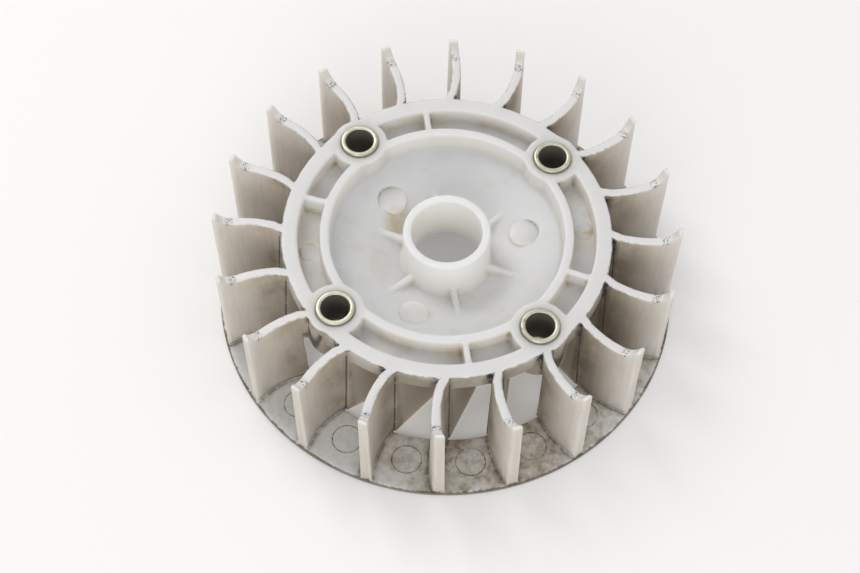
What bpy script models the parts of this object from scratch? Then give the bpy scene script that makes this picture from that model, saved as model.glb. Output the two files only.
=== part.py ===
"""Moulded nylon cooling fan that bolts to a small engine's flywheel, with four steel bushes.

The moulding is one piece on the real fan. Here its hub, shroud ring and blades are separate solids with a
small gap between them, so that the space between the blades stays open to anything that works on the solids.

Z is the spin axis. The flat shroud ring stands on Z = 0, and the face that seats on the flywheel is on top.
Plan angles are clock angles: 0 along +Y, growing clockwise as seen from above.
"""

import math

import bmesh
import bpy

MM = 0.001  # every dimension below is in millimetres

# Shroud ring, the thin flat plate under the blades
RING_OUTER_R = 59.0
RING_INNER_R = 44.2
RING_THICK = 1.1

# Hub plate: two upstanding rings with a pocket between them, on a plate that dishes down to the tube
HUB_TOP_Z = 28.2
HUB_R = 41.1
HUB_SKIRT_R = 41.4
HUB_UNDER_Z = 21.9
HUB_UNDER_ROUND = 2.2
POCKET_OUTER_R = 37.5
POCKET_INNER_R = 31.5
POCKET_DRAFT = 0.25
POCKET_FLOOR_Z = 23.3
DISH_LIP_R = 29.8
DISH_WALL_R = 29.1
DISH_EDGE_Z = 22.9
DISH_CENTRE_Z = 15.6
DISH_THICK = 1.7

# Centre tube
TUBE_R = 10.85
TUBE_FOOT_R = 11.1
TUBE_BORE_R = 8.95
TUBE_CHAMFER = 0.4

# Blades
BLADES = 20
FIRST_BLADE = 1.75
BLADE_TOP_Z = HUB_TOP_Z - 0.08
BLADE_FOOT_Z = 0.15
BLADE_INNER_R = 24.5
BLADE_FOOT_INNER_R = 28.5
BLADE_OUTER_R = 58.3
BLADE_ARC_IN_R = 40.9
BLADE_ARC_OUT_R = 57.96
BLADE_ARC_IN_SHIFT = -0.58
BLADE_ARC_OUT_SHIFT = -0.32
BLADE_ARC_RISE = 1.3
BLADE_STRAIGHT_SLOPE = 0.44
BLADE_TOP_THICK = 2.3
BLADE_FOOT_THICK = 3.0
BLADE_JOIN_R = 42.25  # outside this a blade stands as high as the hub
BLADE_RING_R = 43.35  # outside this it stands on the ring
HORN_START_R = 53.9
HORN_TOP_R = 57.6
HORN_TOP_Z = 31.7
HORN_SHOULDER_Z = 30.9

# Bosses and bushes
BOSSES = 4
FIRST_BOSS = -39.9
BOSS_BLADES = (3, 8, 13, 18)  # these blades, counted from 0, stop at a boss and leave its bolt head room
BOSS_NEIGHBOURS = (2, 4, 7, 9, 12, 14, 17, 19)
BOLT_CIRCLE_R = 35.1
BOSS_R = 7.1
BOSS_TOP_Z = HUB_TOP_Z - 0.05
BOSS_UNDER_Z = 16.3
BUSH_R = 4.75
BUSH_BORE_R = 3.55
BUSH_LENGTH = 12.7
BUSH_UNDER_Z = 16.2
BUSH_CHAMFER = 0.3
BUSH_GAP = 0.15

# Ribs across the pocket, and gussets round the tube
POCKET_RIBS = (-8.5, -74.0, 110.0, 171.7)
RIB_THICK = 1.45
RIB_TOP_Z = HUB_TOP_Z - 0.1
GUSSETS = 6
FIRST_GUSSET = -9.5
GUSSET_THICK = 1.3
GUSSET_TOP_Z = 18.3

GAP = 0.3  # between the hub, the ring and the blades
DISH_ROOM = 0.9  # between the slanting dish and a blade's inner end
TURN_STEPS = 80
BOSS_STEPS = 32
OVERLAP = 0.6  # how far joined shapes run into each other


def clear_scene():
    for obj in list(bpy.data.objects):
        bpy.data.objects.remove(obj, do_unlink=True)


def material(name, colour, roughness, metallic):
    made = bpy.data.materials.new(name)
    made.use_nodes = True
    shader = made.node_tree.nodes["Principled BSDF"]
    shader.inputs["Base Color"].default_value = (*colour, 1.0)
    shader.inputs["Roughness"].default_value = roughness
    shader.inputs["Metallic"].default_value = metallic
    return made


def object_from(name, bm, finish):
    """A new object from a bmesh in millimetres, with its normals facing out."""
    bmesh.ops.recalc_face_normals(bm, faces=bm.faces)
    bmesh.ops.scale(bm, vec=(MM, MM, MM), verts=bm.verts)
    mesh = bpy.data.meshes.new(name)
    bm.to_mesh(mesh)
    bm.free()
    mesh.materials.append(finish)
    mesh.shade_smooth()
    mesh.set_sharp_from_angle(angle=math.radians(30))
    obj = bpy.data.objects.new(name, mesh)
    bpy.context.scene.collection.objects.link(obj)
    return obj


def helper(obj):
    """Marks an object that only joins or cuts another."""
    obj.hide_render = True
    obj.display_type = "WIRE"
    return obj


def boolean(obj, operation, other):
    modifier = obj.modifiers.new(f"{operation.lower()} {other.name}", "BOOLEAN")
    modifier.operation = operation
    modifier.solver = "EXACT"
    modifier.object = helper(other)


def plan_point(radius, clock):
    angle = math.radians(clock)
    return radius * math.sin(angle), radius * math.cos(angle)


def add_turned(bm, profile, steps, centre=(0.0, 0.0)):
    """Adds a closed ring: the (radius, z) outline turned round a vertical axis at centre."""
    rings = []
    for step in range(steps):
        x, y = plan_point(1.0, 360.0 * step / steps)
        rings.append([bm.verts.new((centre[0] + r * x, centre[1] + r * y, z)) for r, z in profile])
    for step, ring in enumerate(rings):
        following = rings[(step + 1) % steps]
        for i in range(len(profile)):
            j = (i + 1) % len(profile)
            bm.faces.new((ring[i], ring[j], following[j], following[i]))


def add_cylinder(bm, centre, radius, low, high, steps):
    rings = []
    for z in (low, high):
        points = [plan_point(radius, 360.0 * step / steps) for step in range(steps)]
        rings.append([bm.verts.new((centre[0] + x, centre[1] + y, z)) for x, y in points])
    bm.faces.new(rings[0])
    bm.faces.new(rings[1])
    for i in range(steps):
        j = (i + 1) % steps
        bm.faces.new((rings[0][i], rings[0][j], rings[1][j], rings[1][i]))


def add_radial_web(bm, clock, thick, inner, outer, corners):
    """Adds an upright web along a clock angle. corners are the z of inner foot, outer foot, outer top, inner top."""
    along = plan_point(1.0, clock)
    across = plan_point(1.0, clock + 90.0)
    sides = []
    for side in (-thick / 2, thick / 2):
        radii = (inner, outer, outer, inner)
        sides.append([
            bm.verts.new((along[0] * r + across[0] * side, along[1] * r + across[1] * side, z))
            for r, z in zip(radii, corners)
        ])
    bm.faces.new(sides[0])
    bm.faces.new(sides[1])
    for i in range(4):
        j = (i + 1) % 4
        bm.faces.new((sides[0][i], sides[0][j], sides[1][j], sides[1][i]))


def dish_z(radius):
    """Height of the dish's upper surface at a radius."""
    share = (radius - TUBE_FOOT_R) / (DISH_WALL_R - TUBE_FOOT_R)
    return DISH_CENTRE_Z + share * (DISH_EDGE_Z - DISH_CENTRE_Z)


def hub_profile():
    corner = HUB_UNDER_ROUND
    steps = 4
    under_edge = [
        (
            HUB_SKIRT_R - corner + corner * math.cos(math.pi / 2 * i / steps),
            HUB_UNDER_Z + corner - corner * math.sin(math.pi / 2 * i / steps),
        )
        for i in range(steps + 1)
    ]
    return [
        (HUB_R, HUB_TOP_Z),
        *under_edge,
        (DISH_LIP_R, HUB_UNDER_Z),
        (DISH_WALL_R - 0.5, DISH_EDGE_Z - DISH_THICK),
        (TUBE_BORE_R, dish_z(TUBE_BORE_R) - DISH_THICK),
        (TUBE_BORE_R, HUB_TOP_Z - TUBE_CHAMFER),
        (TUBE_BORE_R + TUBE_CHAMFER, HUB_TOP_Z),
        (TUBE_R - TUBE_CHAMFER, HUB_TOP_Z),
        (TUBE_R, HUB_TOP_Z - TUBE_CHAMFER),
        (TUBE_FOOT_R, DISH_CENTRE_Z),
        (DISH_WALL_R, DISH_EDGE_Z),
        (DISH_LIP_R, HUB_TOP_Z),
        (POCKET_INNER_R, HUB_TOP_Z),
        (POCKET_INNER_R + POCKET_DRAFT, POCKET_FLOOR_Z),
        (POCKET_OUTER_R - POCKET_DRAFT, POCKET_FLOOR_Z),
        (POCKET_OUTER_R, HUB_TOP_Z),
    ]


def ring_profile():
    return [
        (RING_INNER_R, 0.0),
        (RING_OUTER_R, 0.0),
        (RING_OUTER_R, RING_THICK),
        (RING_INNER_R, RING_THICK),
    ]


def blade_shift(radius):
    """How far clockwise a blade's middle line lies from its own radial line: a shallow arc, straight inside the ring."""
    arc_r = max(radius, BLADE_RING_R)
    t = (arc_r - BLADE_ARC_IN_R) / (BLADE_ARC_OUT_R - BLADE_ARC_IN_R)
    chord = BLADE_ARC_IN_SHIFT + (BLADE_ARC_OUT_SHIFT - BLADE_ARC_IN_SHIFT) * t
    return chord + 4.0 * BLADE_ARC_RISE * t * (1.0 - t) - BLADE_STRAIGHT_SLOPE * (arc_r - radius)


def horn_z(radius):
    """Height of the blade's concave ramp: flat at its start and steepening to the horn's top."""
    share = (radius - HORN_START_R) / (HORN_TOP_R - HORN_START_R)
    return BLADE_TOP_Z + (HORN_TOP_Z - BLADE_TOP_Z) * share**1.7


def blade_stations(under_boss):
    """(radius, foot z, top z) along a blade, from its inner end under the hub to its tip."""
    stations = []
    if not under_boss:
        for radius in (BLADE_INNER_R, BLADE_FOOT_INNER_R):
            share = (radius - BLADE_INNER_R) / (BLADE_FOOT_INNER_R - BLADE_INNER_R)
            top = dish_z(radius) - DISH_THICK - DISH_ROOM
            stations.append((radius, top - 3.0 + (BLADE_FOOT_Z - top + 3.0) * share, top))
        for radius in (31.0, 34.5, 38.0, BLADE_JOIN_R - 0.1):
            stations.append((radius, BLADE_FOOT_Z, HUB_UNDER_Z - GAP))
        stations.append((BLADE_JOIN_R, BLADE_FOOT_Z, BLADE_TOP_Z))
        stations.append((BLADE_RING_R - 0.1, BLADE_FOOT_Z, BLADE_TOP_Z))
    foot = RING_THICK + GAP
    for radius in (BLADE_RING_R, 46.0, 49.0, 51.5, HORN_START_R):
        stations.append((radius, foot, BLADE_TOP_Z))
    for share in (0.4, 0.7, 0.9):
        radius = HORN_START_R + share * (HORN_TOP_R - HORN_START_R)
        stations.append((radius, foot, horn_z(radius)))
    stations.append((HORN_TOP_R + 0.2, foot, HORN_TOP_Z))
    stations.append((BLADE_OUTER_R, foot, HORN_SHOULDER_Z))
    return stations


def add_blade(bm, clock, under_boss):
    """Adds one blade: a curved upright strip, thicker at its foot than at its top."""
    radial = plan_point(1.0, clock)
    clockwise = plan_point(1.0, clock + 90.0)
    sections = []
    for radius, foot, top in blade_stations(under_boss):
        slope = (blade_shift(radius + 0.1) - blade_shift(radius - 0.1)) / 0.2
        length = math.hypot(1.0, slope)
        section = []
        for z, side in ((foot, -1), (foot, 1), (top, 1), (top, -1)):
            share = (z - BLADE_FOOT_Z) / (BLADE_TOP_Z - BLADE_FOOT_Z)
            thick = BLADE_FOOT_THICK + (BLADE_TOP_THICK - BLADE_FOOT_THICK) * min(share, 1.0)
            along = radius - slope / length * side * thick / 2
            across = blade_shift(radius) + side * thick / 2 / length
            x = radial[0] * along + clockwise[0] * across
            y = radial[1] * along + clockwise[1] * across
            section.append(bm.verts.new((x, y, z)))
        sections.append(section)
    bm.faces.new(sections[0])
    bm.faces.new(sections[-1])
    for section, following in zip(sections, sections[1:]):
        for i in range(4):
            j = (i + 1) % 4
            bm.faces.new((section[i], section[j], following[j], following[i]))


def boss_centres():
    return [plan_point(BOLT_CIRCLE_R, FIRST_BOSS + 360.0 / BOSSES * i) for i in range(BOSSES)]


def cylinders(name, radius, low, high, finish):
    """One cylinder on each boss's axis, together in one object."""
    bm = bmesh.new()
    for centre in boss_centres():
        add_cylinder(bm, centre, radius, low, high, BOSS_STEPS)
    return object_from(name, bm, finish)


def make_blades(finish):
    room = cylinders("boss_room", BOSS_R + GAP, BOSS_UNDER_Z - GAP, HUB_TOP_Z + 2.0, finish)
    for i in range(BLADES):
        bm = bmesh.new()
        add_blade(bm, FIRST_BLADE + 360.0 / BLADES * i, i in BOSS_BLADES)
        blade = object_from(f"blade_{i + 1:02d}", bm, finish)
        if i in BOSS_NEIGHBOURS:
            boolean(blade, "DIFFERENCE", room)


def make_webs(finish):
    """The pocket's ribs and the tube's gussets, which stand clear of each other."""
    bm = bmesh.new()
    foot = POCKET_FLOOR_Z - OVERLAP
    for clock in POCKET_RIBS:
        corners = (foot, foot, RIB_TOP_Z, RIB_TOP_Z)
        add_radial_web(bm, clock, RIB_THICK, POCKET_INNER_R - OVERLAP, POCKET_OUTER_R + OVERLAP, corners)
    slope = (DISH_EDGE_Z - DISH_CENTRE_Z) / (DISH_WALL_R - TUBE_FOOT_R)
    outer = TUBE_FOOT_R + (GUSSET_TOP_Z - DISH_CENTRE_Z) / slope + OVERLAP
    inner = TUBE_R - OVERLAP
    for i in range(GUSSETS):
        corners = (dish_z(inner) - OVERLAP, dish_z(outer) - 2 * OVERLAP, GUSSET_TOP_Z, GUSSET_TOP_Z)
        add_radial_web(bm, FIRST_GUSSET + 360.0 / GUSSETS * i, GUSSET_THICK, inner, outer, corners)
    return object_from("webs", bm, finish)


def make_hub(finish):
    bm = bmesh.new()
    add_turned(bm, hub_profile(), TURN_STEPS)
    hub = object_from("hub", bm, finish)
    boolean(hub, "UNION", cylinders("bosses", BOSS_R, BOSS_UNDER_Z, BOSS_TOP_Z, finish))
    boolean(hub, "UNION", make_webs(finish))
    bores = cylinders("bush_bores", BUSH_R + BUSH_GAP, BOSS_UNDER_Z - 1.0, HUB_TOP_Z + 1.0, finish)
    boolean(hub, "DIFFERENCE", bores)


def make_ring(finish):
    bm = bmesh.new()
    add_turned(bm, ring_profile(), TURN_STEPS)
    object_from("shroud_ring", bm, finish)


def make_bushes(finish):
    bottom = BUSH_UNDER_Z
    top = BUSH_UNDER_Z + BUSH_LENGTH
    profile = [
        (BUSH_BORE_R, bottom),
        (BUSH_R - BUSH_CHAMFER, bottom),
        (BUSH_R, bottom + BUSH_CHAMFER),
        (BUSH_R, top - BUSH_CHAMFER),
        (BUSH_R - BUSH_CHAMFER, top),
        (BUSH_BORE_R + BUSH_CHAMFER, top),
        (BUSH_BORE_R, top - BUSH_CHAMFER),
    ]
    for i, centre in enumerate(boss_centres()):
        bm = bmesh.new()
        add_turned(bm, profile, BOSS_STEPS)
        bush = object_from(f"steel_bush_{i + 1}", bm, finish)
        bush.location = (centre[0] * MM, centre[1] * MM, 0.0)


clear_scene()
nylon = material("natural nylon", (0.80, 0.78, 0.73), 0.45, 0.0)
make_hub(nylon)
make_ring(nylon)
make_blades(nylon)
make_bushes(material("yellow zinc", (0.78, 0.71, 0.52), 0.35, 1.0))
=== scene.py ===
import math

import bmesh
import bpy
import numpy as np
from mathutils import Matrix, Vector


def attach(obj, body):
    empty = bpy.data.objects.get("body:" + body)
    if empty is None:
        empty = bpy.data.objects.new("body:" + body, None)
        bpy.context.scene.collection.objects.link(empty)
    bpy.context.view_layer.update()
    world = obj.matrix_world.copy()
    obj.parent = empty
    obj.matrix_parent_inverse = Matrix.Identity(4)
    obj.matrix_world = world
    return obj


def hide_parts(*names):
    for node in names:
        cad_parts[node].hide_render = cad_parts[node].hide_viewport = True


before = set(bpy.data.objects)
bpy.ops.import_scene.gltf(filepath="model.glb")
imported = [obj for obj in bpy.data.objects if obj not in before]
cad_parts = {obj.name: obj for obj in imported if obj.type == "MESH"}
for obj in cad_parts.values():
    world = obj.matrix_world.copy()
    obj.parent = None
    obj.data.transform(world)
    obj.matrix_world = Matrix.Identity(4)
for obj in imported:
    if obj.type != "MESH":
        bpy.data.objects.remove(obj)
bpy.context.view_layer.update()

MM = 0.001  # the shapes below are worked out in millimetres

# Moulding
RING_OUTER_R = 59.0
RING_INNER_R = 44.2
RING_THICK = 1.05
HUB_TOP_Z = 28.18
BLADES = 20
FIRST_BLADE = 1.75  # clock angle of the first blade's radial line, in degrees
BLADE_PITCH = 360 / BLADES
BLADE_BEND_R = 43.35  # inside this a blade runs straight
BLADE_INNER_SLOPE = 0.44
BLADE_HALF_TOP = 1.155
BLADE_HALF_DRAFT = 0.285  # how much a blade's half thickness grows down to its foot
SEAM_FOOT_R = 43.7  # the parting line on a blade's faces, at its foot
SEAM_SLANT = 2.0 / 27.0
BOSS_BLADES = (3, 8, 13, 18)  # counted from 0; a boss stands over the inner part of each
BOSSES = 4
FIRST_BOSS = -39.9
BOLT_CIRCLE_R = 35.1
BOSS_R = 7.1
BOSS_UNDER_Z = 16.3
POCKET_RIBS = (-8.5, -74.0, 110.0, 171.7)
FIRST_GUSSET = -9.5
GUSSET_TOP_Z = 18.6
DISH_MARKS = ((-43.0, 20.5), (75.0, 20.5), (-157.0, 20.5))  # clock angle and radius
POCKET_MARKS = ((-95.7, 34.7), (84.0, 34.7))
RING_MARK_AT_R = 50.65
RING_MARK_R = 3.7

# Bushes
BUSH_R = 4.75
BUSH_HOLE_R = 4.86
BUSH_BORE_R = 3.55
BUSH_LOW_Z = 16.2
BUSH_TOP_Z = 28.9

GRID = 0.3


# ---------------------------------------------------------------- distance fields

def rounded_outline(corners, steps=5):
    """A closed outline in which each (x, y, radius) corner becomes an arc."""
    points = []
    for i, (x, y, radius) in enumerate(corners):
        here = np.array((x, y))
        before = np.array(corners[i - 1][:2])
        after = np.array(corners[(i + 1) % len(corners)][:2])
        to_before = before - here
        to_after = after - here
        length_before = np.linalg.norm(to_before)
        length_after = np.linalg.norm(to_after)
        to_before = to_before / length_before
        to_after = to_after / length_after
        cosine = float(np.clip(to_before @ to_after, -1, 1))
        half = math.acos(cosine) / 2
        if radius <= 0 or half > 1.55:
            points.append(here)
            continue
        reach = min(radius / math.tan(half), 0.48 * length_before, 0.48 * length_after)
        radius = reach * math.tan(half)
        middle = (to_before + to_after) / np.linalg.norm(to_before + to_after)
        centre = here + middle * radius / math.sin(half)
        start = here + to_before * reach - centre
        end = here + to_after * reach - centre
        for step in range(steps + 1):
            mix = start + (end - start) * step / steps
            points.append(centre + mix / np.linalg.norm(mix) * radius)
    return np.array(points)


class Outline:
    """Signed distance to a closed outline, negative inside, kept on a fine table."""

    def __init__(self, corners, low, high, step=0.12):
        points = rounded_outline(corners)
        self.low = np.array(low, float)
        self.step = step
        count = [int(round((b - a) / step)) + 1 for a, b in zip(low, high)]
        self.top = [n - 1.001 for n in count]
        gx, gy = np.meshgrid(
            low[0] + step * np.arange(count[0]), low[1] + step * np.arange(count[1]), indexing="ij"
        )
        nearest = np.full(gx.shape, 1e9)
        inside = np.zeros(gx.shape, bool)
        for a, b in zip(points, np.roll(points, -1, axis=0)):
            along = b - a
            square = along @ along
            if square < 1e-12:
                continue
            px = gx - a[0]
            py = gy - a[1]
            t = np.clip((px * along[0] + py * along[1]) / square, 0, 1)
            nearest = np.minimum(nearest, (px - t * along[0]) ** 2 + (py - t * along[1]) ** 2)
            if a[1] != b[1]:
                crosses = (gy < a[1]) != (gy < b[1])
                inside ^= crosses & (gx < a[0] + (gy - a[1]) / (b[1] - a[1]) * along[0])
        self.values = (np.sqrt(nearest) * np.where(inside, -1, 1)).astype(np.float32)

    def __call__(self, x, y):
        fx = np.clip((x - self.low[0]) / self.step, 0, self.top[0])
        fy = np.clip((y - self.low[1]) / self.step, 0, self.top[1])
        ix = fx.astype(np.int32)
        iy = fy.astype(np.int32)
        fx = (fx - ix).astype(np.float32)
        fy = (fy - iy).astype(np.float32)
        v = self.values
        low = v[ix, iy] * (1 - fx) + v[ix + 1, iy] * fx
        high = v[ix, iy + 1] * (1 - fx) + v[ix + 1, iy + 1] * fx
        return low * (1 - fy) + high * fy


def join(a, b, blend):
    """Union of two fields with a fillet of about that size between them."""
    h = np.maximum(blend - np.abs(a - b), 0) / blend
    return np.minimum(a, b) - h * h * blend / 4


def meet(a, b, blend):
    """Intersection of two fields with a rounded edge."""
    h = np.maximum(blend - np.abs(a - b), 0) / blend
    return np.maximum(a, b) + h * h * blend / 4


def dish_z(radius):
    """Height of the dish's upper surface at a radius."""
    return 15.7 + (radius - 11.1) * (22.6 - 15.7) / (28.6 - 11.1)


OPEN = 36.0  # walls run up past the top face, which cuts them off level

HUB = Outline(
    [
        (41.05, OPEN, 0), (41.35, 21.7, 2.1),
        (29.9, 21.7, 1.0), (28.3, 20.8, 1.0),
        (8.75, dish_z(8.75) - 1.75, 0.5), (8.97, OPEN, 0), (10.83, OPEN, 0),
        (11.15, dish_z(11.15), 0.7), (29.15, dish_z(29.0) + 0.1, 1.3), (29.85, OPEN, 0),
        (31.5, OPEN, 0), (31.8, 23.25, 0.7), (37.2, 23.25, 0.7), (37.5, OPEN, 0),
    ],
    (5.0, 10.0), (45.0, 33.0),
)
RING = Outline(
    [
        (RING_INNER_R, 0, 0.25), (RING_OUTER_R, 0, 0.3),
        (RING_OUTER_R, RING_THICK, 0.35), (RING_INNER_R, RING_THICK, 0.4),
    ],
    (41.0, -1.5), (61.0, 4.5), 0.06,
)
# Everything but the ring lies inside this: the level top face, the horns' ramps and the blades' outer edge
LIMIT = Outline(
    [
        (-20, HUB_TOP_Z, 0), (53.6, HUB_TOP_Z, 2.0), (55.0, 28.72, 1.0), (55.9, 29.35, 1.0), (56.7, 30.3, 1.0),
        (57.45, 31.65, 0.35), (58.28, 31.72, 0.45), (58.4, 0.05, 0.0), (-20, 0.05, 0),
    ],
    (0.0, -1.5), (61.0, 33.0),
)
# A blade seen from its side. Under the hub its top ends within the plate
BLADE = Outline(
    [
        (24.4, dish_z(24.4) - 0.9, 0), (28.2, dish_z(28.2) - 0.9, 0), (31.0, 22.5, 0), (39.3, 22.5, 0),
        (39.8, OPEN, 0), (62, OPEN, 0), (62, -2, 0), (28.4, 0.1, 1.2), (25.5, 13.5, 2.5),
    ],
    (20.0, -1.5), (61.0, 33.0),
)

ARC_IN_R, ARC_OUT_R = 40.9, 57.96
ARC_IN_SHIFT, ARC_OUT_SHIFT, ARC_RISE = -0.577, -0.315, 1.30


def blade_shift(u):
    """How far clockwise a blade lies from its radial line: a shallow arc, and straight inside the ring."""
    arc = np.maximum(u, BLADE_BEND_R)
    t = (arc - ARC_IN_R) / (ARC_OUT_R - ARC_IN_R)
    chord = ARC_IN_SHIFT + (ARC_OUT_SHIFT - ARC_IN_SHIFT) * t
    return chord + 4 * ARC_RISE * t * (1 - t) - BLADE_INNER_SLOPE * (arc - u)


# Clock angle of a blade's middle line at each radius, from its own radial line
along_blade = np.linspace(20, 62, 400)
SWEEP_R = np.hypot(along_blade, blade_shift(along_blade))
SWEEP_CLOCK = np.degrees(np.arctan2(blade_shift(along_blade), along_blade))


def step_up(x):
    x = np.clip(x, 0, 1)
    return x * x * (3 - 2 * x)


def seam_r(z):
    """The parting line on a blade's faces slants from the ring's inner edge to the hub's wall."""
    return SEAM_FOOT_R - SEAM_SLANT * z


def blade_field(x, y, z, r, clock):
    """Signed distance to the nearest blade. A blade is thicker at its foot, and on one side at its root."""
    turned = (clock - np.interp(r, SWEEP_R, SWEEP_CLOCK) - FIRST_BLADE) / BLADE_PITCH
    number = np.round(turned)
    angle = np.radians(FIRST_BLADE + number * BLADE_PITCH)
    sine, cosine = np.sin(angle), np.cos(angle)
    u = x * sine + y * cosine
    v = x * cosine - y * sine
    slope = (blade_shift(u + 0.1) - blade_shift(u - 0.1)) / 0.2
    across = (v - blade_shift(u)) / np.sqrt(1 + slope * slope)
    low = 1 - np.clip(z / HUB_TOP_Z, 0, 1)
    seam = step_up((seam_r(z) - r) / 0.25) * step_up((27.0 - z) / 1.5)
    root = 0.8 * low * np.clip((52 - u) / 8.35, 0, 1)
    beside_boss = np.isin((number.astype(int) + 1) % BLADES, BOSS_BLADES)
    web = np.where(beside_boss, 0.22 * low * np.clip(43.5 - u, 0, 7), 0)
    one_side = np.where(across < 0, root + 0.16 * seam, web)
    half = BLADE_HALF_TOP + BLADE_HALF_DRAFT * low + 0.14 * seam + one_side
    across = np.abs(across)
    field = meet(across - half, BLADE(r, z), 0.5)
    under_boss = np.isin(number.astype(int) % BLADES, BOSS_BLADES)
    cleared = np.maximum(field, -np.maximum(r - 43.3, z - 21.2))
    return np.where(under_boss, cleared, field)


def bosses_field(x, y, z):
    """Signed distance to the nearest boss, and the distance in plan from its axis."""
    nearest = np.full(x.shape, 1e3)
    for i in range(BOSSES):
        angle = math.radians(FIRST_BOSS + 90 * i)
        away = np.hypot(x - BOLT_CIRCLE_R * math.sin(angle), y - BOLT_CIRCLE_R * math.cos(angle))
        nearest = np.minimum(nearest, away)
    return meet(nearest - BOSS_R - 0.012 * (25 - z), BOSS_UNDER_Z - z, 0.9), nearest


def web_field(x, y, clock, thick, inner, outer):
    """Signed distance in plan to an upright web along a clock angle."""
    angle = math.radians(clock)
    along = x * math.sin(angle) + y * math.cos(angle)
    across = x * math.cos(angle) - y * math.sin(angle)
    return np.maximum(np.abs(across) - thick / 2, np.maximum(inner - along, along - outer))


def moulding(x, y, z):
    """Signed distance in millimetres to the whole moulding."""
    r = np.hypot(x, y)
    clock = np.degrees(np.arctan2(x, y))
    field = HUB(r, z)
    for angle, radius in DISH_MARKS:
        a = math.radians(angle)
        away = np.hypot(x - radius * math.sin(a), y - radius * math.cos(a))
        disc = meet(away - 3.7, z - dish_z(21.2), 0.12)
        field = join(field, np.maximum(disc, dish_z(16.0) - 1.0 - z), 0.12)
        field = meet(field, -np.maximum(away - 3.75, dish_z(21.2) - z), 0.15)
    for angle, radius in POCKET_MARKS:
        a = math.radians(angle)
        away = np.hypot(x - radius * math.sin(a), y - radius * math.cos(a))
        field = np.maximum(field, -meet(away - 2.45, 23.08 - z, 0.1))
    for angle in POCKET_RIBS:
        web = np.maximum(web_field(x, y, angle, 1.45, 30.7, 38.5), 22.5 - z)
        web = meet(web, z - HUB_TOP_Z + 0.25, 0.4)
        field = join(field, web, 0.7)
    folded = (clock - FIRST_GUSSET + 30) % 60 - 30
    across = np.abs(r * np.sin(np.radians(folded)))
    thick = 0.70 + 0.02 * (GUSSET_TOP_Z - z)
    gusset = np.maximum(meet(across - thick, z - GUSSET_TOP_Z, 0.35), np.maximum(r - 20.5, 10.2 - r))
    gusset = np.maximum(gusset, 14.6 - z)
    field = join(field, gusset, 0.55)
    boss, away = bosses_field(x, y, z)
    field = join(field, boss, 0.8)
    field = join(field, blade_field(x, y, z, r, clock), 0.5)
    field = meet(field, LIMIT(r, z), 0.5)
    field = join(field, RING(r, z), 0.4)
    folded = np.radians((clock - FIRST_BLADE) % BLADE_PITCH - BLADE_PITCH / 2)
    away_mark = np.hypot(r * np.sin(folded), r * np.cos(folded) - RING_MARK_AT_R)
    field = np.maximum(field, -meet(away_mark - RING_MARK_R, RING_THICK - 0.16 - z, 0.1))
    return np.maximum(field, BUSH_HOLE_R - away)


def sampled_field(grid, levels):
    values = np.empty((len(grid), len(grid), len(levels)), np.float32)
    x, y = np.meshgrid(grid, grid, indexing="ij")
    for k, z in enumerate(levels):
        values[:, :, k] = moulding(x, y, np.full_like(x, z))
    return values


def surface_net(values, xs, ys, zs):
    """A quad mesh of the zero level: one vertex in each cell that the surface passes through."""
    inside = values < 0
    count = np.zeros([n - 1 for n in values.shape], np.int8)
    for a in (0, 1):
        for b in (0, 1):
            for c in (0, 1):
                count += inside[
                    a:a + count.shape[0], b:b + count.shape[1], c:c + count.shape[2]
                ]
    active = (count > 0) & (count < 8)
    number = np.full(count.shape, -1, np.int32)
    cells = np.nonzero(active)
    number[cells] = np.arange(len(cells[0]))
    total = np.zeros((len(cells[0]), 3))
    hits = np.zeros(len(cells[0]))
    axes = (xs, ys, zs)
    for axis in range(3):
        others = [n for n in range(3) if n != axis]
        for a in (0, 1):
            for b in (0, 1):
                start = [cells[0], cells[1], cells[2]]
                start[others[0]] = start[others[0]] + a
                start[others[1]] = start[others[1]] + b
                end = list(start)
                end[axis] = end[axis] + 1
                v0 = values[tuple(start)]
                v1 = values[tuple(end)]
                crossing = (v0 < 0) != (v1 < 0)
                t = np.where(crossing, v0 / np.where(crossing, v0 - v1, 1), 0)
                point = np.stack([axes[n][start[n]] for n in range(3)], axis=1)
                point[:, axis] += t * (axes[axis][end[axis]] - axes[axis][start[axis]])
                total += np.where(crossing[:, None], point, 0)
                hits += crossing
    points = total / hits[:, None]
    faces = []
    for axis in range(3):
        first, second = [(1, 2), (2, 0), (0, 1)][axis]
        low = [slice(None)] * 3
        high = [slice(None)] * 3
        low[axis] = slice(0, -1)
        high[axis] = slice(1, None)
        change = inside[tuple(low)] != inside[tuple(high)]
        where = np.nonzero(change)
        keep = (where[first] > 0) & (where[first] < values.shape[first] - 1)
        keep &= (where[second] > 0) & (where[second] < values.shape[second] - 1)
        where = [w[keep] for w in where]
        filled = inside[tuple(where)]
        quad = []
        for a, b in ((1, 1), (0, 1), (0, 0), (1, 0)):
            cell = list(where)
            cell[first] = cell[first] - a
            cell[second] = cell[second] - b
            quad.append(number[tuple(cell)])
        quad = np.stack(quad, axis=1)
        quad[~filled] = quad[~filled][:, ::-1]
        faces.append(quad)
    return points, np.concatenate(faces)


def settle(points, rounds=2):
    """Moves points onto the surface along the field's own slope, and gives the slope there."""
    e = 0.04
    for _ in range(rounds):
        x, y, z = points.T
        here = moulding(x, y, z)
        slope = np.stack(
            [
                moulding(x + e, y, z) - moulding(x - e, y, z),
                moulding(x, y + e, z) - moulding(x, y - e, z),
                moulding(x, y, z + e) - moulding(x, y, z - e),
            ],
            axis=1,
        ) / (2 * e)
        size = np.maximum(np.linalg.norm(slope, axis=1), 0.3)
        move = np.clip(here / size, -0.15, 0.15)
        points = points - slope / size[:, None] * move[:, None]
    return points, slope / size[:, None]


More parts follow.
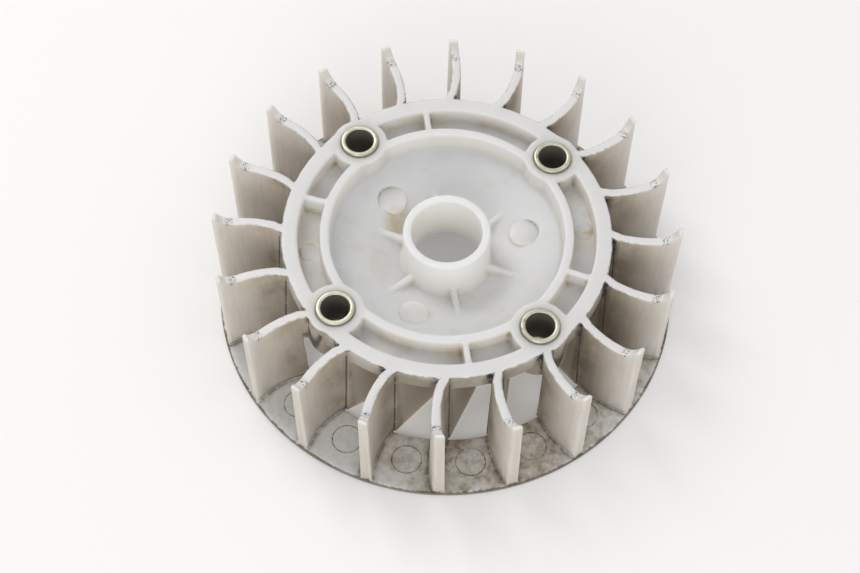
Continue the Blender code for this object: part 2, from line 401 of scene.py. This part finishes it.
def mesh_from(name, points, faces):
    mesh = bpy.data.meshes.new(name)
    mesh.vertices.add(len(points))
    mesh.vertices.foreach_set("co", (points * MM).astype(np.float32).ravel())
    width = faces.shape[1]
    mesh.loops.add(faces.size)
    mesh.loops.foreach_set("vertex_index", faces.astype(np.int32).ravel())
    mesh.polygons.add(len(faces))
    mesh.polygons.foreach_set("loop_start", np.arange(0, faces.size, width, dtype=np.int32))
    mesh.update(calc_edges=True)
    mesh.validate()
    return mesh


def link(name, mesh):
    obj = bpy.data.objects.new(name, mesh)
    bpy.context.scene.collection.objects.link(obj)
    return obj


def thinned(mesh, share):
    """The mesh with its flat parts simplified."""
    obj = link("thinning", mesh)
    modifier = obj.modifiers.new("thin", "DECIMATE")
    modifier.ratio = share
    depsgraph = bpy.context.evaluated_depsgraph_get()
    result = bpy.data.meshes.new_from_object(obj.evaluated_get(depsgraph))
    bpy.data.objects.remove(obj)
    return result


def closeness(points, normals, reaches):
    """How closed in each point is, 0 to 1, from the field at a few distances in front of it."""
    total = np.zeros(len(points))
    for reach, weight in reaches:
        probe = points + normals * reach
        total += weight * np.clip(1 - moulding(*probe.T) / reach, 0, 1)
    return total


def make_moulding():
    half = RING_OUTER_R + 0.75
    grid = np.arange(-half, half + GRID, GRID) + 0.013
    levels = np.concatenate([
        np.arange(-0.45, 2.4, min(GRID, 0.3)),
        np.arange(2.4, 12.6, 2 * GRID),
        np.arange(12.6, 32.6, GRID),
    ])
    values = sampled_field(grid, levels)
    points, faces = surface_net(values, grid, grid, levels)
    print("moulding cells", len(points), len(faces))
    mesh = mesh_from("fan_moulding_look", points, faces)
    mesh = thinned(mesh, 0.3)
    points = np.empty(len(mesh.vertices) * 3, np.float32)
    mesh.vertices.foreach_get("co", points)
    points, normals = settle(points.reshape(-1, 3).astype(float) / MM)
    mesh.vertices.foreach_set("co", (points * MM).astype(np.float32).ravel())
    mesh.update()
    print("moulding mesh", len(mesh.vertices), len(mesh.polygons))
    cavity = closeness(points, normals, ((0.6, 0.4), (1.2, 0.35), (2.4, 0.25)))
    shade = closeness(points, normals, ((3.0, 0.5), (6.0, 0.5)))
    depth = moulding(*(points - normals * 0.5).T)
    edge = np.clip(1 + depth / 0.5, 0, 1)
    for name, data in (("cavity", cavity), ("shade", shade), ("edge", edge)):
        layer = mesh.attributes.new(name, "FLOAT", "POINT")
        layer.data.foreach_set("value", data.astype(np.float32))
    mesh.shade_smooth()
    return link("fan_body", mesh)


def make_bush(name, centre):
    profile = [
        (BUSH_BORE_R + 0.35, BUSH_LOW_Z), (BUSH_R - 0.4, BUSH_LOW_Z), (BUSH_R - 0.1, BUSH_LOW_Z + 0.1),
        (BUSH_R, BUSH_LOW_Z + 0.4), (BUSH_R, BUSH_TOP_Z - 0.35), (BUSH_R - 0.06, BUSH_TOP_Z - 0.16),
        (BUSH_R - 0.2, BUSH_TOP_Z - 0.04), (BUSH_R - 0.36, BUSH_TOP_Z), (BUSH_BORE_R + 0.34, BUSH_TOP_Z),
        (BUSH_BORE_R + 0.16, BUSH_TOP_Z - 0.06), (BUSH_BORE_R + 0.04, BUSH_TOP_Z - 0.2),
        (BUSH_BORE_R, BUSH_TOP_Z - 0.45),
        (BUSH_BORE_R, BUSH_LOW_Z + 0.35),
    ]
    steps = 96
    points = []
    faces = []
    for i in range(steps):
        a = 2 * math.pi * i / steps
        for r, z in profile:
            points.append((centre[0] + r * math.sin(a), centre[1] + r * math.cos(a), z))
    n = len(profile)
    for i in range(steps):
        for j in range(n):
            k = (j + 1) % n
            after = (i + 1) % steps
            faces.append((i * n + j, i * n + k, after * n + k, after * n + j))
    mesh = mesh_from(name, np.array(points), np.array(faces))
    bm = bmesh.new()
    bm.from_mesh(mesh)
    bmesh.ops.recalc_face_normals(bm, faces=bm.faces)
    bm.to_mesh(mesh)
    bm.free()
    mesh.shade_smooth()
    mesh.set_sharp_from_angle(angle=math.radians(40))
    return link(name, mesh)


# ---------------------------------------------------------------- materials

class Value:
    """A number or vector in a node tree that can be used in ordinary arithmetic."""

    def __init__(self, tree, socket):
        self.tree = tree
        self.socket = socket

    def math(self, operation, *others):
        node = self.tree.nodes.new("ShaderNodeMath")
        node.operation = operation
        for i, item in enumerate((self, *others)):
            if isinstance(item, Value):
                self.tree.links.new(item.socket, node.inputs[i])
            else:
                node.inputs[i].default_value = item
        return Value(self.tree, node.outputs[0])

    def __add__(self, other):
        return self.math("ADD", other)

    def __sub__(self, other):
        return self.math("SUBTRACT", other)

    def __rsub__(self, other):
        return (self * -1) + other

    def __mul__(self, other):
        return self.math("MULTIPLY", other)

    __radd__ = __add__
    __rmul__ = __mul__

    def __abs__(self):
        return self.math("ABSOLUTE")

    def highest(self, other):
        return self.math("MAXIMUM", other)

    def lowest(self, other):
        return self.math("MINIMUM", other)

    def ramp(self, start, end):
        """0 at start and 1 at end, eased; start may be the larger."""
        node = self.tree.nodes.new("ShaderNodeMapRange")
        node.interpolation_type = "SMOOTHSTEP"
        low, high = min(start, end), max(start, end)
        self.tree.links.new(self.socket, node.inputs["Value"])
        node.inputs["From Min"].default_value = low
        node.inputs["From Max"].default_value = high
        node.inputs["To Min"].default_value = 0.0 if start < end else 1.0
        node.inputs["To Max"].default_value = 1.0 if start < end else 0.0
        return Value(self.tree, node.outputs["Result"])


class Look:
    """A material with its coordinates at hand: x, y, z and radius in millimetres, and clock angle in degrees."""

    def __init__(self, name):
        self.material = bpy.data.materials.new(name)
        self.material.use_nodes = True
        self.tree = self.material.node_tree
        self.shader = self.tree.nodes["Principled BSDF"]
        coordinates = self.tree.nodes.new("ShaderNodeTexCoord")
        self.place = self.scaled(coordinates.outputs["Object"], (1000, 1000, 1000))
        self.x, self.y, self.z = self.parts(self.place)
        self.r = (self.x * self.x + self.y * self.y).math("SQRT")
        self.clock = self.x.math("ARCTAN2", self.y) * (180 / math.pi)
        geometry = self.tree.nodes.new("ShaderNodeNewGeometry")
        self.nx, self.ny, self.nz = self.parts(geometry.outputs["Normal"])

    def parts(self, socket):
        node = self.tree.nodes.new("ShaderNodeSeparateXYZ")
        self.tree.links.new(socket, node.inputs[0])
        return [Value(self.tree, out) for out in node.outputs]

    def scaled(self, socket, scale, shift=(0, 0, 0)):
        node = self.tree.nodes.new("ShaderNodeMapping")
        node.inputs["Scale"].default_value = scale
        node.inputs["Location"].default_value = shift
        self.tree.links.new(socket, node.inputs["Vector"])
        return node.outputs[0]

    def noise(self, scale, detail=3.0, rough=0.55, seed=0.0):
        node = self.tree.nodes.new("ShaderNodeTexNoise")
        node.inputs["Scale"].default_value = 1.0
        node.inputs["Detail"].default_value = detail
        node.inputs["Roughness"].default_value = rough
        scale = scale if isinstance(scale, tuple) else (scale,) * 3
        moved = self.scaled(self.place, scale, (seed * 7.3, seed * 3.1, seed * 5.7))
        self.tree.links.new(moved, node.inputs["Vector"])
        return Value(self.tree, node.outputs[0])

    def attribute(self, name):
        node = self.tree.nodes.new("ShaderNodeAttribute")
        node.attribute_name = name
        return Value(self.tree, node.outputs["Fac"])

    def fold(self, first, pitch):
        """Clock angle from the nearest of a set of evenly spaced directions, in degrees."""
        turned = (self.clock - (first - pitch / 2 - 720)).math("MODULO", pitch)
        return turned - pitch / 2

    def away(self, first, pitch, radius):
        """Distance in plan from the nearest of a circle of evenly spaced centres."""
        angle = self.fold(first, pitch) * (math.pi / 180)
        across = self.r * angle.math("SINE")
        along = self.r * angle.math("COSINE") - radius
        return (across * across + along * along).math("SQRT")

    def from_point(self, clock, radius):
        a = math.radians(clock)
        dx = self.x - radius * math.sin(a)
        dy = self.y - radius * math.cos(a)
        return (dx * dx + dy * dy).math("SQRT")

    def mix(self, under, over, share):
        node = self.tree.nodes.new("ShaderNodeMix")
        node.data_type = "RGBA"
        self.tree.links.new(share.socket, node.inputs[0])
        for socket, colour in ((node.inputs[6], under), (node.inputs[7], over)):
            if isinstance(colour, tuple):
                socket.default_value = (*colour, 1.0)
            else:
                self.tree.links.new(colour, socket)
        return node.outputs[2]

    def use(self, socket_name, value):
        socket = self.shader.inputs[socket_name]
        if isinstance(value, Value):
            self.tree.links.new(value.socket, socket)
        elif isinstance(value, bpy.types.NodeSocket):
            self.tree.links.new(value, socket)
        else:
            socket.default_value = value

    def bump(self, height, distance, strength=1.0):
        node = self.tree.nodes.new("ShaderNodeBump")
        node.inputs["Distance"].default_value = distance
        node.inputs["Strength"].default_value = strength
        self.tree.links.new(height.socket, node.inputs["Height"])
        self.tree.links.new(node.outputs[0], self.shader.inputs["Normal"])


NYLON = (0.735, 0.725, 0.715)
NYLON_WARM = (0.74, 0.70, 0.60)
# painted light: the pale tone painted on the tube, as if lit through
PALE_PAINTED_GLOW = (0.86, 0.85, 0.81)
TAUPE = (0.40, 0.335, 0.25)
DARK_TAUPE = (0.17, 0.145, 0.105)
BROWN = (0.205, 0.17, 0.12)
AMBER = (0.46, 0.36, 0.20)
BLACK = (0.022, 0.019, 0.016)


class NylonLook(Look):
    """The moulding's noises, and masks for its regions, with the layers of dirt, painted shade and painted glow
    that use them.
    """

    def __init__(self):
        super().__init__("stained natural nylon with painted shade and glow")
        self.cavity = self.attribute("cavity")
        self.shade = self.attribute("shade")
        self.edge = self.attribute("edge")
        self.broad = self.noise(0.035, 2.0, seed=1)
        self.patch = self.noise(0.11, 5.0, 0.62, seed=2)
        self.fine = self.noise(0.55, 5.0, 0.65, seed=3)
        self.grit = self.noise(2.6, 3.0, 0.6, seed=4)
        self.streak = self.noise((1.3, 1.3, 0.09), 4.0, 0.6, seed=5)
        self.upright = abs(self.nz).ramp(0.9, 0.5)
        self.level = self.nz.ramp(0.6, 0.9)
        self.outside = self.r.ramp(40.6, 41.6)  # past the hub's wall

    def away_from_boss(self):
        return self.away(FIRST_BOSS, 90, BOLT_CIRCLE_R)

    def tone_and_painted_glow(self):
        """Cool white on the rubbed top, warmer on the bosses, with painted light: a warm glow on thin edges and
        the tube, and the tube painted palest.
        """
        r = self.r
        # painted light: the tube tinted warm like light glowing through it; the bosses warmer
        warmth_and_glow = r.ramp(12.5, 10.8) * 0.28 + self.away_from_boss().ramp(8.0, 6.6) * 0.35
        warmth_and_glow = warmth_and_glow.lowest(1.0) + self.upright * r.ramp(42, 30) * 0.3
        # painted light: thin edges tinted warm like light glowing through the nylon
        warmth_and_glow = warmth_and_glow + self.edge.ramp(0.2, 0.8) * 0.3 + (self.patch - 0.5) * 0.5
        colour = self.mix(NYLON, NYLON_WARM, warmth_and_glow.highest(0.0).lowest(1.0))
        # painted light: the tube painted pale as if lit through
        return self.mix(colour, PALE_PAINTED_GLOW, r.ramp(12.0, 11.0) * 0.9)

    def film_and_under_hub_shade(self):
        """Dust on the upright faces that the air passes, with fine upright streaks, and dust with painted shade
        on the upright faces under the hub.
        """
        r = self.r
        faces = self.upright * self.outside
        tip = r.ramp(57.85, 58.1)
        # dust and painted shade: upright faces under the hub plate are darkened
        under_hub_dust_and_shade = self.z.ramp(24.0, 21.5) * r.ramp(30.5, 31.5) * r.ramp(43.0, 41.5)
        film_and_under_hub_shade = faces * (r.ramp(58.5, 42.5) * 0.52 + 0.34)
        film_and_under_hub_shade = film_and_under_hub_shade * (0.35 + 0.75 * self.patch + 0.6 * self.broad) + (self.streak - 0.5) * 0.34 * faces
        film_and_under_hub_shade = film_and_under_hub_shade * (1.0 - tip * 0.12) + tip * self.upright * 0.26
        return film_and_under_hub_shade.highest(under_hub_dust_and_shade * self.upright * 0.85)

    def dirt_and_painted_shade(self):
        """Patchy dirt mixed with painted shade: darker towards the blades' roots and on the +X side, and painted
        shade where the surface is closed in.
        """
        # painted shade: the +X side is made darker
        patches_and_side_shade = (self.patch + self.x * 0.0016).ramp(0.42, 0.60)
        root_dirt_and_shade = self.upright * self.outside * self.r.ramp(52.0, 42.5)
        root_dirt_and_shade = root_dirt_and_shade * (self.broad.ramp(0.40, 0.62) * 0.5 + patches_and_side_shade * 0.75) * (0.45 + 0.7 * self.fine)
        # painted shade where the surface is closed in, from the shade attribute
        return (root_dirt_and_shade * 0.62 + self.shade.ramp(0.45, 0.95) * self.outside * 0.35).lowest(0.8)

    def ring_dirt(self, colour):
        """Mottled dirt on the ring's upper face, round its ejector marks and along its rim."""
        ring = self.level * self.z.ramp(3.0, 2.0)
        mottle = self.patch.ramp(0.40, 0.62) * 0.42 + self.fine.ramp(0.42, 0.62) * 0.30 + 0.27
        heavy = 0.34 + self.x.ramp(-28.0, 0.0) * 0.68 - self.x.ramp(20.0, 48.0) * 0.22
        colour = self.mix(colour, BROWN, (ring * mottle * heavy).lowest(0.93))
        mark = self.away(FIRST_BLADE + BLADE_PITCH / 2, BLADE_PITCH, RING_MARK_AT_R)
        outline = abs(mark - (RING_MARK_R + 0.02)).ramp(0.22, 0.06) * self.fine.ramp(0.30, 0.52)
        colour = self.mix(colour, DARK_TAUPE, ring * outline * 0.85)
        rim = (self.r + (self.fine - 0.5) * 1.2).ramp(58.35, 58.7) * self.z.ramp(2.0, 1.3)
        return self.mix(colour, BLACK, (rim * (0.6 + 0.5 * self.fine)).lowest(0.93))

    def stains(self):
        """Oil stains in the pockets, the dish and round the tube's foot."""
        r, z, patch = self.r, self.z, self.patch
        pocket = r.ramp(31.2, 31.7) * r.ramp(37.8, 37.3) * z.ramp(27.4, 26.6)
        stain = pocket * (patch.ramp(0.40, 0.62) * 0.22 + 0.04)
        stain = stain + pocket * self.cavity.ramp(0.2, 0.6) * patch.ramp(0.44, 0.60) * 0.75
        dish = r.ramp(30.0, 29.4) * self.level * z.ramp(26.0, 25.0)
        stain = stain + dish * patch.ramp(0.5, 0.68) * 0.16
        pool = self.from_point(-52.0, 15.0).ramp(5.5, 1.5)
        stain = stain + pool * patch.ramp(0.36, 0.56) * self.level * 0.6
        stain = stain + r.ramp(31.0, 30.0) * self.cavity.ramp(0.3, 0.75) * self.fine.ramp(0.4, 0.6) * 0.6
        return stain.highest(0.0).lowest(0.8)

    def grime_and_painted_shadow(self):
        """Black grime packed into corners, along worn edges and in specks, a dark line along the parting line,
        and a faint painted shadow ring round each bush.
        """
        r, z, fine = self.r, self.z, self.fine
        corner = self.cavity.ramp(0.28, 0.66) * self.outside * fine.ramp(0.36, 0.54)
        notch = abs(r - 41.6).ramp(1.1, 0.35) * self.cavity.ramp(0.12, 0.34)
        notch = notch * z.ramp(24.5, 26.5) * fine.ramp(0.42, 0.52)
        # a dark line along the parting line on the blades' faces
        seam = abs(r + z * SEAM_SLANT - SEAM_FOOT_R).ramp(0.26, 0.05) * self.upright
        seam = seam * z.ramp(26.6, 25.6) * z.ramp(0.8, 1.4) * fine.ramp(0.3, 0.45)
        worn = self.edge.ramp(0.18, 0.42) * r.ramp(40.5, 41.2) * r.ramp(53.0, 47.0)
        worn = worn * z.ramp(26.6, 27.4) * fine.ramp(0.47, 0.56)
        ramp_start = abs(r - 54.4).ramp(1.3, 0.3) * z.ramp(27.5, 28.0) * self.grit.ramp(0.50, 0.58)
        specks = self.grit.ramp(0.70, 0.74) * (self.outside * 0.8 + 0.25)
        # painted shadow: a dark ring on the boss top round each bush
        bush_shadow_ring = self.away_from_boss().ramp(5.35, 4.95) * z.ramp(26.0, 27.0)
        grime_and_painted_shadow = corner * 0.85
        for part in (notch * 0.9, seam * 0.8, worn * 0.75, ramp_start * 0.85, specks, bush_shadow_ring * 0.25):
            grime_and_painted_shadow = grime_and_painted_shadow.highest(part)
        return grime_and_painted_shadow


def nylon_look():
    look = NylonLook()
    film_and_under_hub_shade = look.film_and_under_hub_shade()
    grime_and_painted_shadow = look.grime_and_painted_shadow()
    # nylon tone, with a painted glow on thin edges and the tube
    colour = look.tone_and_painted_glow()
    # taupe dust, and dust with painted shade under the hub
    colour = look.mix(colour, TAUPE, film_and_under_hub_shade.highest(0.0).lowest(0.94))
    # dirt and painted shade towards the blades' roots, on the +X side and in closed-in spots
    colour = look.mix(colour, DARK_TAUPE, look.dirt_and_painted_shade())
    colour = look.ring_dirt(colour)
    colour = look.mix(colour, AMBER, look.stains())
    # black grime, and the painted shadow ring round each bush
    colour = look.mix(colour, BLACK, grime_and_painted_shadow.lowest(0.94))
    look.use("Base Color", colour)
    look.use("Roughness", (0.40 + film_and_under_hub_shade * 0.25 + look.fine * 0.12 + grime_and_painted_shadow * 0.2).lowest(0.9))
    look.use("Subsurface Weight", 0.9)
    look.use("Subsurface Radius", (1.0, 0.92, 0.78))
    look.use("Subsurface Scale", 0.006)
    look.use("IOR", 1.5)
    height = look.patch * 0.5 + look.fine * 0.22 + look.grit * 0.05 + look.streak * 0.12
    look.bump(height, 0.00028, 0.7)
    return look.material


def zinc_look():
    look = Look("worn yellow zinc with painted shade")
    fine = look.noise(1.1, 4.0, 0.6, seed=8)
    patch = look.noise(0.35, 3.0, 0.6, seed=9)
    away = look.away(FIRST_BOSS, 90, BOLT_CIRCLE_R)
    colour = look.mix((0.66, 0.63, 0.48), (0.76, 0.74, 0.62), patch.ramp(0.35, 0.65))
    # painted shade: the bore's inside is painted near black
    inside = away.ramp(BUSH_BORE_R + 0.10, BUSH_BORE_R + 0.02)
    specks_and_painted_shade = (inside * 0.84).highest(fine.ramp(0.62, 0.70) * 0.55)
    # painted shadow: a dark line round the bush's outer top edge and proud wall
    specks_and_painted_shade = specks_and_painted_shade.highest(away.ramp(4.62, 4.74) * 0.25)
    colour = look.mix(colour, (0.045, 0.043, 0.036), specks_and_painted_shade)
    look.use("Base Color", colour)
    look.use("Metallic", (1.0 - inside * 0.6))
    look.use("Roughness", (0.38 + fine * 0.15 + inside * 0.25))
    look.bump(fine, 0.00008, 0.6)
    return look.material


# ---------------------------------------------------------------- build

body = make_moulding()
body.data.materials.append(nylon_look())
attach(body, "root")
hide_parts(*[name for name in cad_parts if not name.startswith("steel_bush")])

steel = zinc_look()
for i in range(BOSSES):
    a = math.radians(FIRST_BOSS + 90 * i)
    bush = make_bush(f"bush_{i + 1}", (BOLT_CIRCLE_R * math.sin(a), BOLT_CIRCLE_R * math.cos(a)))
    bush.data.materials.append(steel)
    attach(bush, "root")
    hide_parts(f"steel_bush_{i + 1}")

# ---------------------------------------------------------------- stage

floor_mesh = bpy.data.meshes.new("table")
floor_bm = bmesh.new()
bmesh.ops.create_grid(floor_bm, x_segments=1, y_segments=1, size=1.5)
floor_bm.to_mesh(floor_mesh)
floor_bm.free()
table = link("table", floor_mesh)
table.location.z = -0.0002
table_look = bpy.data.materials.new("table")
table_look.use_nodes = True
table_shader = table_look.node_tree.nodes["Principled BSDF"]
table_shader.inputs["Base Color"].default_value = (0.80, 0.78, 0.76, 1)
table_shader.inputs["Roughness"].default_value = 0.6
table_shader.inputs["Emission Color"].default_value = (1.0, 0.99, 0.98, 1)
table_shader.inputs["Emission Strength"].default_value = 0.19
floor_mesh.materials.append(table_look)

world = bpy.data.worlds.new("studio")
bpy.context.scene.world = world
world.use_nodes = True
world.node_tree.nodes["Background"].inputs["Color"].default_value = (0.95, 0.97, 1.0, 1)
world.node_tree.nodes["Background"].inputs["Strength"].default_value = 0.53


def area_light(name, place, size, power, colour=(1, 1, 1)):
    data = bpy.data.lights.new(name, "AREA")
    data.shape = "DISK"
    data.size = size
    data.energy = power
    data.color = colour
    obj = bpy.data.objects.new(name, data)
    bpy.context.scene.collection.objects.link(obj)
    obj.location = place
    obj.rotation_euler = (-Vector(place)).to_track_quat("-Z", "Y").to_euler()
    return obj


area_light("key", (-0.45, 0.55, 0.75), 0.5, 3.4, (1.0, 0.98, 0.95))
area_light("fill", (0.6, -0.2, 0.8), 0.7, 1.2)
area_light("front", (-0.15, -0.75, 0.42), 0.6, 2.4)

# Camera at the photograph's angle
ELEVATION = math.radians(59.449)
ROLL = math.radians(0.570)
SIDE, LIFT, AWAY = 4.055, -0.552, 425.45
right = Vector((1, 0, 0))
back = Vector((0, -math.cos(ELEVATION), math.sin(ELEVATION)))
up = Vector((0, math.sin(ELEVATION), math.cos(ELEVATION)))
row_x = right * math.cos(ROLL) + up * math.sin(ROLL)
row_y = -right * math.sin(ROLL) + up * math.cos(ROLL)
camera_data = bpy.data.cameras.new("camera")
camera_data.sensor_width = 36.0
camera_data.lens = 67.48
camera_data.clip_start = 0.01
camera = bpy.data.objects.new("camera", camera_data)
bpy.context.scene.collection.objects.link(camera)
place = (-SIDE * row_x - LIFT * row_y + AWAY * back) * MM
turn = Matrix((row_x, row_y, back)).transposed().to_4x4()
camera.matrix_world = Matrix.Translation(place) @ turn
bpy.context.scene.camera = camera
bpy.context.scene.view_settings.view_transform = "Standard"
